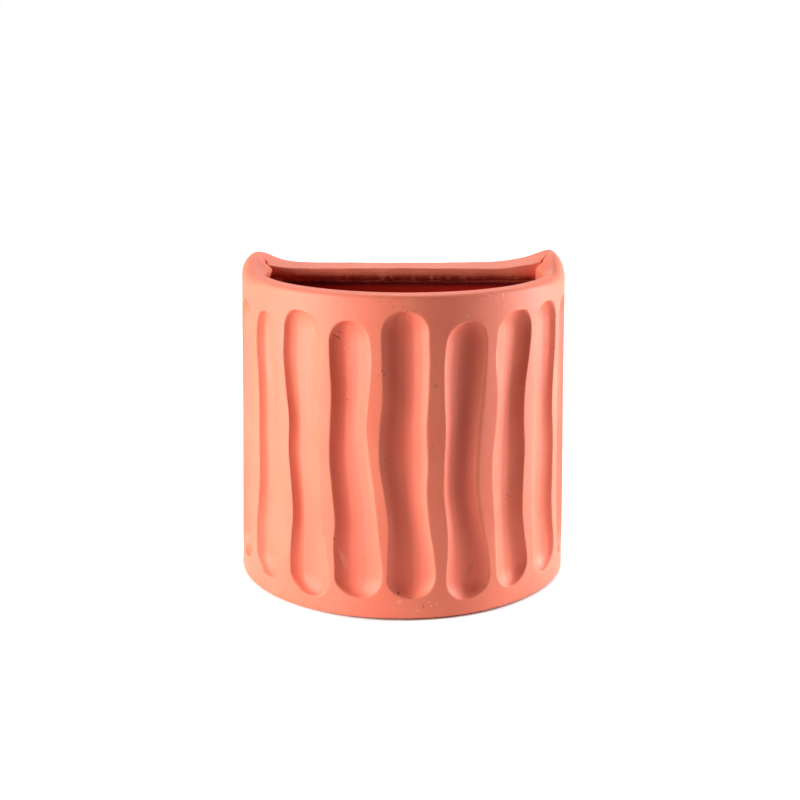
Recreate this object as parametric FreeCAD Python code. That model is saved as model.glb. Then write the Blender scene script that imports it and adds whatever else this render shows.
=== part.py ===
"""Half-round terracotta wall planter, slab built: one STEP solid per clay piece.

Millimetres.  +Z is up, the flat back faces +Y and the round fluted front faces -Y.  The origin
is at the centre of the base, on the surface that the planter stands on.
"""
import FreeCAD, Part
import math
import os

Vector = FreeCAD.Vector

# ---- Driving dimensions ------------------------------------------------------------------
LIP_HEIGHT = 200.0            # from the base to the top of the front lip
BASE_RADIUS = 109.3           # outside of the round wall at the base
WALL_LEAN = 4.8               # how far the round wall leans in from the base to the lip
FRONT_THICKNESS = 11.5        # the round wall, between its flutes
BACK_THICKNESS = 10.0
FLOOR_THICKNESS = 12.0

LIP_ROUNDING = 3.0            # outer edge of the lip, round the front
CORNER_ROUNDING = 10.0        # outer edge of the raised rear corners
PAD_OVERHANG = 6.0            # how far a corner pad stands in over the mouth
PAD_THICKNESS = 12.0          # from the lip's height down to the underside of the pads
STRIP_THICKNESS = 4.5         # the strip along the back rim
STRIP_OVERHANG = 7.0          # how far that strip stands in over the mouth
BACK_ROUNDING = 4.0           # top edge along the flat back
LEFT_CORNER_RISE = 8.9        # crown of each rear corner above the lip
RIGHT_CORNER_RISE = 10.9
CORNER_DIP = 2.0              # from that crown down to the mouth's side of the pad
LEFT_SWEEP = 24.0             # length of the back rim that climbs to each corner
RIGHT_SWEEP = 34.0

COIL_SIZE = 8.0               # leg of the clay fillets pressed into the inner corners
COIL_CLEARANCE = 0.1          # between those fillets and the curved inside of the round wall
DRAIN_DIAMETER = 15.0
DRAIN_FROM_BACK = 45.0        # from the inner face of the back to the drain's centre

HANGING_HOLE_DIAMETER = 8.0
HANGING_HOLE_SPACING = 100.0
HANGING_HOLE_DROP = 32.0      # from the lip's height down to the holes

FLUTE_DEPTH = 4.8             # below a straight edge laid across a flute
FLUTE_FOOT = 12.0             # plain clay between the base and the flutes
FLUTE_HEAD = 14.0             # plain clay between the flutes and the top of the lip
FLUTE_END_LENGTH = 13.0       # rounded end of a flute, top and bottom
CUTTER_STEP = 0.3             # length of the blunt tip that the rounded end starts from
CUTTER_REACH = 6.0            # how far a flute's cutter stands out of the wall
CUTTER_FLARE = 8.0            # degrees by which its arc runs on outside the wall

# Each flute is a wavy scoop that was cut by hand.  Its two edges are given in degrees round
# the wall, from the middle of the front, at these shares of its length from the bottom up.
EDGE_SHARES = (0.10, 0.24, 0.39, 0.53, 0.76, 0.91)
FLUTES = (
    # foot and head as shares of the usual ones, left edge, right edge
    (1.08, 1.07, (-78.8, -78.2, -77.4, -77.8, -78.4, -78.6), (-63.2, -62.4, -61.8, -62.0, -62.6, -63.2)),
    (0.96, 1.25, (-59.6, -58.8, -57.4, -57.8, -58.7, -59.3), (-44.4, -43.9, -44.4, -44.9, -46.2, -47.6)),
    (0.79, 0.89, (-40.2, -39.2, -39.8, -40.8, -42.6, -43.3), (-24.4, -26.6, -28.1, -28.3, -28.4, -27.4)),
    (1.13, 1.14, (-22.6, -22.5, -23.4, -24.4, -23.7, -24.5), (-6.6, -8.0, -9.3, -11.3, -11.0, -10.4)),
    (1.17, 0.68, (-4.9, -4.6, -5.9, -7.5, -6.4, -7.1), (10.6, 8.9, 7.6, 7.8, 8.2, 8.2)),
    (0.88, 1.18, (14.3, 14.6, 13.3, 13.6, 13.2, 13.6), (29.7, 26.8, 24.3, 24.5, 27.1, 28.3)),
    (1.04, 0.93, (32.2, 31.6, 30.7, 30.8, 32.2, 31.7), (46.4, 44.1, 44.4, 44.3, 44.9, 46.9)),
    (1.0, 0.82, (49.8, 48.9, 48.7, 48.7, 49.4, 49.2), (65.2, 62.9, 63.3, 62.9, 63.3, 64.4)),
    (1.08, 0.93, (68.8, 67.4, 67.6, 67.2, 67.6, 68.2), (81.0, 80.2, 80.0, 79.8, 80.4, 80.8)),
)

# ---- Places worked out from them ---------------------------------------------------------
AXIS_Y = (BASE_RADIUS - BACK_THICKNESS) / 2      # axis of the round wall, on the back's inner face
BACK_Y = AXIS_Y + BACK_THICKNESS                 # the face that lies on the wall
STRIP_SEAT_HEIGHT = LIP_HEIGHT - STRIP_THICKNESS
PAD_SEAT_HEIGHT = LIP_HEIGHT - PAD_THICKNESS
STRIP_FRONT_Y = AXIS_Y - STRIP_OVERHANG
SPARE = 1.0                                      # how far a cutter runs past what it cuts


def outer_radius(height):
    """Outside radius of the round wall at a height."""
    return BASE_RADIUS - WALL_LEAN * height / LIP_HEIGHT


def inner_radius(height):
    """Inside radius of the round wall at a height."""
    return outer_radius(height) - FRONT_THICKNESS


def coil_radius(height):
    """Radius of the fillets where they meet the round wall."""
    return inner_radius(height) - COIL_CLEARANCE


MOUTH_HALF_WIDTH = inner_radius(LIP_HEIGHT) - PAD_OVERHANG      # to a pad's straight inner side
PAD_START_ANGLE = math.degrees(math.asin(MOUTH_HALF_WIDTH / inner_radius(LIP_HEIGHT)))


# ---- Shared shapes -----------------------------------------------------------------------
def plan_point(angle, radius, height):
    """A point round the wall: angle in degrees from the middle of the front, +X positive."""
    turn = math.radians(angle)
    return Vector(radius * math.sin(turn), AXIS_Y - radius * math.cos(turn), height)


def half_cone(bottom, top, radius_at):
    """Solid half of a cone, on the front's side of the axis."""
    cone = Part.makeCone(radius_at(bottom), radius_at(top), top - bottom,
                         Vector(0, AXIS_Y, bottom), Vector(0, 0, 1), 180.0)
    cone.rotate(Vector(0, AXIS_Y, 0), Vector(0, 0, 1), 180.0)
    return cone


def tapered_slab(bottom, top, half_width_at, front, back):
    """Flat slab between two planes of constant y, with sloping ends."""
    corners = [Vector(-half_width_at(bottom), front, bottom),
               Vector(half_width_at(bottom), front, bottom),
               Vector(half_width_at(top), front, top),
               Vector(-half_width_at(top), front, top)]
    face = Part.Face(Part.makePolygon(corners + corners[:1]))
    return face.extrude(Vector(0, back - front, 0))


def half_round(bottom, top, radius_at, back):
    """Solid with the planter's plan: a half round with short straight sides to y = back."""
    sides = tapered_slab(bottom, top, radius_at, AXIS_Y, back)
    return half_cone(bottom, top, radius_at).fuse(sides).removeSplitter()


def rim_section(direction, centre, inner, inner_top, crown, rounding):
    """Section of the rim in an upright plane: flat seat, sloping outside, rounded shoulder.

    direction is the outward direction in plan and centre the point it is measured from.
    """
    shoulder = crown - rounding
    outside = outer_radius(shoulder)
    middle = outside - rounding

    def at(distance, height):
        return centre + direction * distance + Vector(0, 0, height)

    bend = rounding * math.sqrt(0.5)
    seat_inside = at(inner, PAD_SEAT_HEIGHT)
    seat_outside = at(outer_radius(PAD_SEAT_HEIGHT), PAD_SEAT_HEIGHT)
    shoulder_point = at(outside, shoulder)
    crown_point = at(middle, crown)
    inner_edge = at(inner, inner_top)
    edges = [Part.makeLine(seat_inside, seat_outside),
             Part.makeLine(seat_outside, shoulder_point),
             Part.Arc(shoulder_point, at(middle + bend, shoulder + bend), crown_point).toShape(),
             Part.makeLine(crown_point, inner_edge),
             Part.makeLine(inner_edge, seat_inside)]
    return Part.Wire(edges)


# ---- Pieces ------------------------------------------------------------------------------
def flute_section(left, right, height, share):
    """Closed outline of a flute's cutter at a height; share is 1 along the flute, less at its ends."""
    middle_angle = (left + right) / 2
    half_angle = math.radians(right - left) / 2 * share
    radius = outer_radius(height)
    half_chord = radius * math.sin(half_angle)
    depth = FLUTE_DEPTH * share
    scoop_radius = (half_chord ** 2 + depth ** 2) / (2 * depth)
    scoop_centre = radius * math.cos(half_angle) - depth + scoop_radius
    spread = math.asin(half_chord / scoop_radius) + math.radians(CUTTER_FLARE)
    side = scoop_radius * math.sin(spread)
    side_out = scoop_centre - scoop_radius * math.cos(spread)
    outside = radius + CUTTER_REACH

    turn = math.radians(middle_angle)
    outward = Vector(math.sin(turn), -math.cos(turn), 0)
    across = Vector(math.cos(turn), math.sin(turn), 0)
    axis = Vector(0, AXIS_Y, height)
    start = axis + outward * side_out - across * side
    bottom = axis + outward * (scoop_centre - scoop_radius)
    end = axis + outward * side_out + across * side
    far_end = axis + outward * outside + across * side
    far_start = axis + outward * outside - across * side
    return Part.Wire([Part.Arc(start, bottom, end).toShape(), Part.makeLine(end, far_end),
                      Part.makeLine(far_end, far_start), Part.makeLine(far_start, start)])


def flute_cutter(foot_share, head_share, left_edge, right_edge):
    """Smooth loft through the flute's sections, with a rounded end at the bottom and the top."""
    bottom = FLUTE_FOOT * foot_share
    top = LIP_HEIGHT - FLUTE_HEAD * head_share

    def end_share(distance):
        return math.sqrt(1 - (1 - distance / FLUTE_END_LENGTH) ** 2)

    end_steps = (CUTTER_STEP, FLUTE_END_LENGTH * 0.15, FLUTE_END_LENGTH * 0.45)
    sections = [flute_section(left_edge[0], right_edge[0], bottom + step, end_share(step))
                for step in end_steps]
    for share, left, right in zip(EDGE_SHARES, left_edge, right_edge):
        sections.append(flute_section(left, right, bottom + (top - bottom) * share, 1.0))
    sections += [flute_section(left_edge[-1], right_edge[-1], top - step, end_share(step))
                 for step in reversed(end_steps)]
    return Part.makeLoft(sections, True, False)


def front_wall():
    """Round wall with its two arms to the back, the front lip and the carved flutes."""
    outside = half_round(0, PAD_SEAT_HEIGHT, outer_radius, BACK_Y)
    inside = half_round(-SPARE, PAD_SEAT_HEIGHT + SPARE, inner_radius, BACK_Y + SPARE)
    wall = outside.cut(inside)
    start = plan_point(-PAD_START_ANGLE, 1.0, 0) - Vector(0, AXIS_Y, 0)
    section = rim_section(start, Vector(0, AXIS_Y, 0), inner_radius(LIP_HEIGHT), LIP_HEIGHT,
                          LIP_HEIGHT, LIP_ROUNDING)
    lip = Part.Face(section).revolve(Vector(0, AXIS_Y, 0), Vector(0, 0, 1), 2 * PAD_START_ANGLE)
    wall = wall.fuse(lip).removeSplitter()
    return wall.cut([flute_cutter(*flute) for flute in FLUTES])


def hanging_hole(x):
    """Cutter for one hole through the back."""
    depth = BACK_THICKNESS + 2 * SPARE
    return Part.makeCylinder(HANGING_HOLE_DIAMETER / 2, depth,
                             Vector(x, AXIS_Y - SPARE, LIP_HEIGHT - HANGING_HOLE_DROP), Vector(0, 1, 0))


def back_wall():
    """Flat slab between the arms of the round wall, with two holes to hang the planter by."""
    slab = tapered_slab(0, PAD_SEAT_HEIGHT, inner_radius, AXIS_Y, BACK_Y)
    top = Part.makeBox(2 * MOUTH_HALF_WIDTH, BACK_THICKNESS, STRIP_SEAT_HEIGHT - PAD_SEAT_HEIGHT,
                       Vector(-MOUTH_HALF_WIDTH, AXIS_Y, PAD_SEAT_HEIGHT))
    half_spacing = HANGING_HOLE_SPACING / 2
    holes = [hanging_hole(side * half_spacing) for side in (-1, 1)]
    return slab.fuse(top).removeSplitter().cut(holes)


def floor_slab():
    """Half-round floor inside the walls, with the drain hole."""
    floor = half_cone(0, FLOOR_THICKNESS, inner_radius)
    drain = Part.makeCylinder(DRAIN_DIAMETER / 2, FLOOR_THICKNESS + 2 * SPARE,
                              Vector(0, AXIS_Y - DRAIN_FROM_BACK, -SPARE))
    return floor.cut(drain)


def strip_outline(y, drop):
    """Outline of the back rim strip at one y: level in the middle, swept up to both corners."""
    level = LIP_HEIGHT - drop

    def swept_end(side, rise, sweep):
        radius = (sweep ** 2 + rise ** 2) / (2 * rise)
        turn = math.asin(sweep / radius)
        foot = side * (MOUTH_HALF_WIDTH - sweep)
        middle = Vector(foot + side * radius * math.sin(turn / 2), y,
                        level + radius * (1 - math.cos(turn / 2)))
        tip = Vector(side * MOUTH_HALF_WIDTH, y, level + rise)
        return Vector(foot, y, level), middle, tip

    left_foot, left_middle, left_tip = swept_end(-1, LEFT_CORNER_RISE - CORNER_DIP, LEFT_SWEEP)
    right_foot, right_middle, right_tip = swept_end(1, RIGHT_CORNER_RISE - CORNER_DIP, RIGHT_SWEEP)
    seat_left = Vector(-MOUTH_HALF_WIDTH, y, STRIP_SEAT_HEIGHT)
    seat_right = Vector(MOUTH_HALF_WIDTH, y, STRIP_SEAT_HEIGHT)
    return Part.Wire([Part.makeLine(seat_left, seat_right), Part.makeLine(seat_right, right_tip),
                      Part.Arc(right_tip, right_middle, right_foot).toShape(),
                      Part.makeLine(right_foot, left_foot),
                      Part.Arc(left_foot, left_middle, left_tip).toShape(),
                      Part.makeLine(left_tip, seat_left)])


def back_steps():
    """Steps (y, drop) round the top edge along the flat back."""
    steps = []
    for angle in (0, 30, 60, 85):
        turn = math.radians(angle)
        y = BACK_Y - BACK_ROUNDING * (1 - math.sin(turn))
        steps.append((y, BACK_ROUNDING * (1 - math.cos(turn))))
    return steps[:-1] + [(BACK_Y, steps[-1][1])]


def back_rim_strip():
    """Strip of clay along the top of the back, standing in over the mouth."""
    outlines = [strip_outline(STRIP_FRONT_Y, 0.0)]
    outlines += [strip_outline(y, drop) for y, drop in back_steps()]
    return Part.makeLoft(outlines, True, True)


def corner_pad(side, rise):
    """Lump of clay on a rear corner that carries the lip up to the raised, rounder tip."""
    sections = []
    spread = 90.0 - PAD_START_ANGLE
    for turn_share, rise_share, round_share in ((0.0, 0.0, 0.0), (0.3, 0.16, 0.2),
                                                (0.65, 0.5, 0.65), (1.0, 0.86, 1.0)):
        angle = PAD_START_ANGLE + spread * turn_share
        direction = plan_point(side * angle, 1.0, 0) - Vector(0, AXIS_Y, 0)
        inner = MOUTH_HALF_WIDTH / math.sin(math.radians(angle))
        crown = LIP_HEIGHT + rise * rise_share
        inner_top = crown - CORNER_DIP * rise_share
        rounding = LIP_ROUNDING + (CORNER_ROUNDING - LIP_ROUNDING) * round_share
        sections.append(rim_section(direction, Vector(0, AXIS_Y, 0), inner, inner_top, crown,
                                    rounding))
    for y, drop in back_steps():
        crown = LIP_HEIGHT + rise - drop
        sections.append(rim_section(Vector(side, 0, 0), Vector(0, y, 0), MOUTH_HALF_WIDTH,
                                    crown - CORNER_DIP, crown, CORNER_ROUNDING))
    return Part.makeLoft(sections, True, True)


def seam_coil(side):
    """Clay fillet pressed into the upright inner corner between the back and the round wall."""
    def outline(height):
        wall = side * inner_radius(height)
        outer = wall + side * SPARE
        leg = side * COIL_SIZE
        bend = COIL_SIZE * (1 - math.sqrt(0.5))
        on_back = Vector(wall - leg, AXIS_Y, height)
        on_wall = Vector(wall, AXIS_Y - COIL_SIZE, height)
        hollow = Vector(wall - side * bend, AXIS_Y - bend, height)
        back_corner = Vector(outer, AXIS_Y, height)
        front_corner = Vector(outer, AXIS_Y - COIL_SIZE, height)
        return Part.Wire([Part.makeLine(on_back, back_corner),
                          Part.makeLine(back_corner, front_corner),
                          Part.makeLine(front_corner, on_wall),
                          Part.Arc(on_wall, hollow, on_back).toShape()])

    post = Part.makeLoft([outline(FLOOR_THICKNESS), outline(PAD_SEAT_HEIGHT)], True, True)
    return post.common(half_cone(FLOOR_THICKNESS, PAD_SEAT_HEIGHT, coil_radius))


def floor_coil(seam_coils):
    """Clay fillet pressed in all round the floor, between the two upright ones."""
    bend = COIL_SIZE * (1 - math.sqrt(0.5))
    top = FLOOR_THICKNESS + COIL_SIZE
    wall_bottom = inner_radius(FLOOR_THICKNESS)

    def outline(corner, outer, run):
        """run is the direction in plan from the wall's face towards the middle of the floor."""
        upright = Vector(0, 0, COIL_SIZE)
        on_floor = corner + run * COIL_SIZE
        hollow = corner + run * bend + Vector(0, 0, bend)
        return Part.Wire([Part.makeLine(on_floor, outer), Part.makeLine(outer, outer + upright),
                          Part.makeLine(outer + upright, corner + upright),
                          Part.Arc(corner + upright, hollow, on_floor).toShape()])

    # The outline starts at the left end of the round wall and turns to its right end.
    corner = Vector(-wall_bottom, AXIS_Y, FLOOR_THICKNESS)
    outer = Vector(-wall_bottom - SPARE, AXIS_Y, FLOOR_THICKNESS)
    face = Part.Face(outline(corner, outer, Vector(1, 0, 0)))
    ring = face.revolve(Vector(0, AXIS_Y, 0), Vector(0, 0, 1), 180.0)
    straight = Part.Wire([Part.makeLine(corner, corner + Vector(0, 0, COIL_SIZE)),
                          Part.Arc(corner + Vector(0, 0, COIL_SIZE),
                                   corner + Vector(0, -bend, bend),
                                   corner + Vector(0, -COIL_SIZE, 0)).toShape(),
                          Part.makeLine(corner + Vector(0, -COIL_SIZE, 0), corner)])
    bar = Part.Face(straight).extrude(Vector(2 * wall_bottom, 0, 0))
    coil = ring.fuse(bar).common(half_cone(FLOOR_THICKNESS, top, coil_radius))
    return coil.cut(seam_coils).removeSplitter()


def main():
    seam_coils = {"left": seam_coil(-1), "right": seam_coil(1)}
    pieces = {
        "front_wall": front_wall(),
        "back_wall": back_wall(),
        "floor_slab": floor_slab(),
        "back_rim_strip": back_rim_strip(),
        "left_corner_pad": corner_pad(-1, LEFT_CORNER_RISE),
        "right_corner_pad": corner_pad(1, RIGHT_CORNER_RISE),
        "left_seam_coil": seam_coils["left"],
        "right_seam_coil": seam_coils["right"],
        "floor_coil": floor_coil(list(seam_coils.values())),
    }
    os.makedirs("parts", exist_ok=True)
    for name, shape in pieces.items():
        shape.exportStep("parts/%s.step" % name)
        box = shape.BoundBox
        print("%-18s solids %d  volume %9.0f  valid %s  z %.1f to %.1f"
              % (name, len(shape.Solids), shape.Volume, shape.isValid(), box.ZMin, box.ZMax))


main()
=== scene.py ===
"""Half-round terracotta wall planter: the finish of every surface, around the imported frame.

Metres.  +Z is up, the flat back faces +Y and the round fluted front faces -Y.
"""

import math

import bmesh
import bpy
import numpy as np
from mathutils import Matrix, Vector


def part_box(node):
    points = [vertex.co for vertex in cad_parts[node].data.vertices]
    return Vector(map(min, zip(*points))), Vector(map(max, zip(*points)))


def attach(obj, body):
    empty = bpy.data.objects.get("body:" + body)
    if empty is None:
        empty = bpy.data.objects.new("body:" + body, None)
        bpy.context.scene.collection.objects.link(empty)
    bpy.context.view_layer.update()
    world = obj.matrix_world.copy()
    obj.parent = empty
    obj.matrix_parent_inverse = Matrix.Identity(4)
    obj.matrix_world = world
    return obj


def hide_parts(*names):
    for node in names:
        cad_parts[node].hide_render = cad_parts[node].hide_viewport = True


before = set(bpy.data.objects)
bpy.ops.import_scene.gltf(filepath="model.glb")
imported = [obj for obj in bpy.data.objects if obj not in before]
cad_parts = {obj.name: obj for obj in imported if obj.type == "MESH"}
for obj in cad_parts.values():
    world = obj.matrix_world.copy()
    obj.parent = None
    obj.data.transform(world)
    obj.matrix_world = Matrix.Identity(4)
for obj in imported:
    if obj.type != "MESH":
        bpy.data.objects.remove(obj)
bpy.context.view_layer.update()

MM = 0.001

# ---- Sizes read from the frame ------------------------------------------------------------
front_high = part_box("front_wall")[1]
back_low, back_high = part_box("back_wall")
floor_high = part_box("floor_slab")[1]
strip_low, strip_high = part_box("back_rim_strip")
left_pad_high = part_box("left_corner_pad")[1]
right_pad_low, right_pad_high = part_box("right_corner_pad")

BASE_RADIUS = front_high.x
LIP_HEIGHT = front_high.z
BACK_Y = back_high.y
AXIS_Y = back_low.y
FLOOR_TOP = floor_high.z
FLOOR_RADIUS = floor_high.x
FRONT_THICKNESS = BASE_RADIUS - FLOOR_RADIUS
PAD_SEAT = right_pad_low.z
WALL_LEAN = (BASE_RADIUS - right_pad_high.x) * LIP_HEIGHT / PAD_SEAT
MOUTH_HALF_WIDTH = strip_high.x
STRIP_SEAT = strip_low.z
STRIP_FRONT_Y = strip_low.y
LEFT_CROWN = left_pad_high.z
RIGHT_CROWN = right_pad_high.z

# ---- Sizes of the clay's finish -----------------------------------------------------------
LIP_ROUNDING = 3.0 * MM           # round the front
CORNER_ROUNDING = 10.0 * MM       # on the raised rear corners
FLUTE_DEPTH = 5.3 * MM
FLUTE_END_LENGTH = 13.0 * MM
EDGE_SOFTNESS = 0.45 * MM
SOFT_EDGE = 2.2 * MM              # one flute's right edge was smeared over
SOFT_EDGE_FLUTE = 5
SOFT_EDGE_HEIGHTS = (45.0, 70.0, 130.0, 165.0)
# Fullness of each flute's left and right side: 2 is a round scoop; more has a steeper side.
FULLNESS = ((3.5, 2.0), (4.5, 2.0), (4.4, 2.0), (3.2, 2.0), (2.2, 2.1), (2.0, 2.4), (2.0, 2.8),
            (2.0, 2.8), (2.0, 2.0))
# Places in the photograph, turned into heights and angles with the camera below.
EDGE_HEIGHTS = tuple(h * MM for h in (20, 30, 45, 60, 80, 100, 120, 140, 160, 175))
FLUTES = (
    # bottom, top, angle of the foot's tip, angle of the head's tip, left edge, right edge
    (13.0, 185.0, -71.0, -71.0,
     (-78.8, -78.8, -78.5, -78.0, -77.4, -77.7, -78.1, -78.4, -78.5, -78.6),
     (-63.2, -63.2, -62.8, -62.3, -61.8, -61.9, -62.2, -62.6, -63.0, -63.3)),
    (11.5, 182.5, -50.5, -54.0,
     (-59.5, -59.7, -59.5, -58.2, -57.4, -57.7, -57.7, -58.2, -59.6, -59.2),
     (-44.6, -44.5, -44.0, -43.9, -44.3, -44.7, -45.1, -45.8, -46.8, -48.0)),
    (9.5, 187.5, -30.0, -37.0,
     (-40.2, -40.3, -39.7, -39.0, -39.8, -40.9, -40.7, -42.2, -43.4, -43.0),
     (-24.4, -24.6, -26.0, -27.7, -28.1, -28.3, -28.7, -28.5, -27.5, -27.6)),
    (13.5, 184.0, -14.0, -18.0,
     (-22.7, -22.5, -22.9, -22.4, -23.4, -24.3, -24.0, -23.6, -24.3, -24.5),
     (-6.8, -6.6, -7.4, -8.2, -9.3, -10.8, -12.0, -11.2, -10.4, -10.8)),
    (14.0, 190.5, 3.5, 0.3,
     (-5.2, -4.9, -4.7, -4.6, -5.9, -7.5, -7.3, -6.4, -6.8, -7.0),
     (10.4, 10.6, 9.8, 8.5, 7.6, 7.9, 7.5, 8.0, 8.3, 8.1)),
    (10.5, 183.5, 21.0, 22.0,
     (14.3, 14.3, 14.8, 14.5, 13.4, 13.5, 13.8, 13.3, 13.2, 13.9),
     (29.6, 29.7, 28.3, 26.2, 24.3, 24.4, 25.3, 26.7, 28.0, 28.2)),
    (12.5, 187.0, 38.5, 42.0,
     (32.4, 32.2, 31.8, 31.5, 30.7, 30.7, 31.9, 32.4, 31.4, 32.1),
     (46.4, 46.4, 44.9, 43.8, 43.9, 44.4, 43.8, 44.4, 46.4, 47.2)),
    (12.0, 188.5, 57.0, 57.5,
     (50.0, 49.8, 49.4, 48.8, 48.6, 48.6, 49.2, 49.4, 49.0, 49.4),
     (65.2, 65.2, 63.5, 62.7, 63.1, 63.3, 62.2, 62.9, 64.3, 64.5)),
    (13.0, 187.0, 75.0, 75.0,
     (68.8, 68.8, 68.2, 67.5, 67.6, 67.3, 67.3, 67.5, 67.9, 68.2),
     (81.0, 81.0, 80.5, 80.3, 80.0, 79.8, 80.1, 80.4, 80.6, 80.8)),
)

# ---- Camera, fitted to the photograph -----------------------------------------------------
CAMERA_SIDE = -1.94 * MM
CAMERA_DISTANCE = 828.2 * MM      # from the axis of the round wall
CAMERA_HEIGHT = 330.1 * MM
CAMERA_PITCH = 14.86              # degrees below the horizon
CAMERA_ROLL = 0.22
CAMERA_LENS = 57.55
SENSOR_WIDTH = 36.0


def outer_radius(height):
    """Outside radius of the round wall at a height."""
    return BASE_RADIUS - WALL_LEAN * height / LIP_HEIGHT


def inner_radius(height):
    """Inside radius of the round wall at a height."""
    return outer_radius(height) - FRONT_THICKNESS


PAD_START = math.degrees(math.asin(MOUTH_HALF_WIDTH / inner_radius(LIP_HEIGHT)))


def smooth_step(value):
    """0 to 1 with level ends."""
    share = np.clip(value, 0.0, 1.0)
    return share * share * (3.0 - 2.0 * share)


def curve_through(at, places, values):
    """Smooth curve through the values given at some places, level beyond both ends."""
    places = np.asarray(places, float)
    values = np.asarray(values, float)
    slopes = np.zeros_like(values)
    slopes[1:-1] = (values[2:] - values[:-2]) / (places[2:] - places[:-2])
    at = np.clip(at, places[0], places[-1])
    index = np.clip(np.searchsorted(places, at, side="right") - 1, 0, len(places) - 2)
    step = places[index + 1] - places[index]
    t = (at - places[index]) / step
    return (values[index] * (2 * t ** 3 - 3 * t ** 2 + 1)
            + slopes[index] * step * (t ** 3 - 2 * t ** 2 + t)
            + values[index + 1] * (3 * t ** 2 - 2 * t ** 3)
            + slopes[index + 1] * step * (t ** 3 - t ** 2))


def soft_minimum(first, second, softness):
    """The smaller of two values, rounded over where they cross."""
    overlap = np.maximum(softness - np.abs(first - second), 0.0) / softness
    return np.minimum(first, second) - overlap * overlap * softness / 4.0


# ---- Mesh helpers -------------------------------------------------------------------------
FLAT_FACE = 0.99999


def mesh_piece(name, vertices, faces, sharp_angle=40.0):
    """A mesh object with smooth faces and creases kept sharp."""
    mesh = bpy.data.meshes.new(name)
    work = bmesh.new()
    points = [work.verts.new(p) for p in vertices]
    for face in faces:
        corners = [points[i] for i in face]
        if len(set(corners)) == len(corners):
            work.faces.new(corners)
    bmesh.ops.remove_doubles(work, verts=work.verts, dist=0.01 * MM)
    bmesh.ops.dissolve_degenerate(work, edges=work.edges, dist=0.005 * MM)
    bmesh.ops.recalc_face_normals(work, faces=work.faces)
    finish_mesh(work, mesh, sharp_angle)
    piece = bpy.data.objects.new(name, mesh)
    bpy.context.scene.collection.objects.link(piece)
    return piece


def finish_mesh(work, mesh, sharp_angle, plane=None):
    """Smooth shading with sharp edges past an angle, written to the mesh; faces across plane stay flat."""
    limit = math.radians(sharp_angle)
    for face in work.faces:
        face.smooth = plane is None or abs(face.normal.dot(Vector(plane))) < FLAT_FACE
    for edge in work.edges:
        if len(edge.link_faces) == 2:
            edge.smooth = edge.calc_face_angle(0.0) < limit
    work.to_mesh(mesh)
    work.free()


def ring_faces(stations, loop):
    """Quads between closed loops of points, with a cap on the first and the last."""
    faces = []
    for s in range(stations - 1):
        for i in range(loop):
            j = (i + 1) % loop
            faces.append((s * loop + i, s * loop + j, (s + 1) * loop + j, (s + 1) * loop + i))
    faces.append(tuple(reversed(range(loop))))
    faces.append(tuple((stations - 1) * loop + i for i in range(loop)))
    return faces


# ---- The round wall -----------------------------------------------------------------------
def spaced(start, end, count):
    """Values from start up to, but not including, end."""
    return list(np.linspace(start, end, count, endpoint=False))


def wall_heights():
    """Heights of the rows up the outside: close together at the flutes' rounded ends."""
    return np.array(spaced(1.6, 8.0, 4) + spaced(8.0, 28.0, 38) + spaced(28.0, 168.0, 76)
                    + spaced(168.0, 193.0, 46) + spaced(193.0, 197.0, 4)) * MM


def flute_edges(number, height):
    """Left and right edge of a flute, in degrees, at a height."""
    left, right = FLUTES[number][4:]
    return curve_through(height, EDGE_HEIGHTS, left), curve_through(height, EDGE_HEIGHTS, right)


def flute_section(number, height):
    """Middle and half width of a flute, in degrees, and 1 along it, falling to 0 at its tips."""
    bottom, top, foot_tip, head_tip = FLUTES[number][:4]
    left, right = flute_edges(number, height)
    from_end = np.minimum(height - bottom * MM, top * MM - height)
    t = np.clip(from_end / FLUTE_END_LENGTH, 0.0, 1.0)
    share = np.sqrt(1.0 - (1.0 - t) ** 2)
    tip = np.where(height < LIP_HEIGHT / 2, foot_tip, head_tip)
    middle = tip + ((left + right) / 2 - tip) * share
    return middle, (right - left) / 2 * share, share


FLUTE_COLUMNS = 26
RIDGE_COLUMNS = 10
SIDE_COLUMNS = 18
END_ANGLE = 90.0
ROUNDING_START = 50.0             # angle at which the lip's rounding starts to grow


def column_angles(height):
    """Angles of all columns round the wall at a height, closest together at the flutes' edges."""
    s = np.linspace(-1.0, 1.0, FLUTE_COLUMNS + 1)
    across = 0.2 * s + 0.8 * np.sin(s * math.pi / 2)
    u = np.linspace(0.0, 1.0, RIDGE_COLUMNS + 1)
    ridge = 0.35 * u + 0.65 * (1.0 - np.cos(u * math.pi)) / 2
    angles = [np.full(1, -END_ANGLE)]
    last = -END_ANGLE
    for number in range(len(FLUTES)):
        left, right = flute_edges(number, height)
        if number == 0:
            angles.append(np.linspace(last, float(left), SIDE_COLUMNS + 1)[1:])
        else:
            angles.append(last + (float(left) - last) * ridge[1:])
        angles.append((left + right) / 2 + (right - left) / 2 * across[1:])
        last = float(right)
    angles.append(np.linspace(last, END_ANGLE, SIDE_COLUMNS + 1)[1:])
    return np.concatenate(angles)


def wobble(angle, height):
    """Slow unevenness of the hand-smoothed wall, always inwards, in metres."""
    a = np.radians(angle)
    h = height / LIP_HEIGHT
    wave = (np.sin(3.1 * a + 4.0 * h + 0.6) + np.sin(5.3 * a - 7.0 * h + 2.1)
            + np.sin(8.7 * a + 2.0 * h + 4.0) + np.sin(2.2 * a + 11.0 * h + 1.2))
    near_base = 1.0 - smooth_step(h / 0.12)
    return (wave / 4.0 - near_base) * 0.25 * MM


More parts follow.
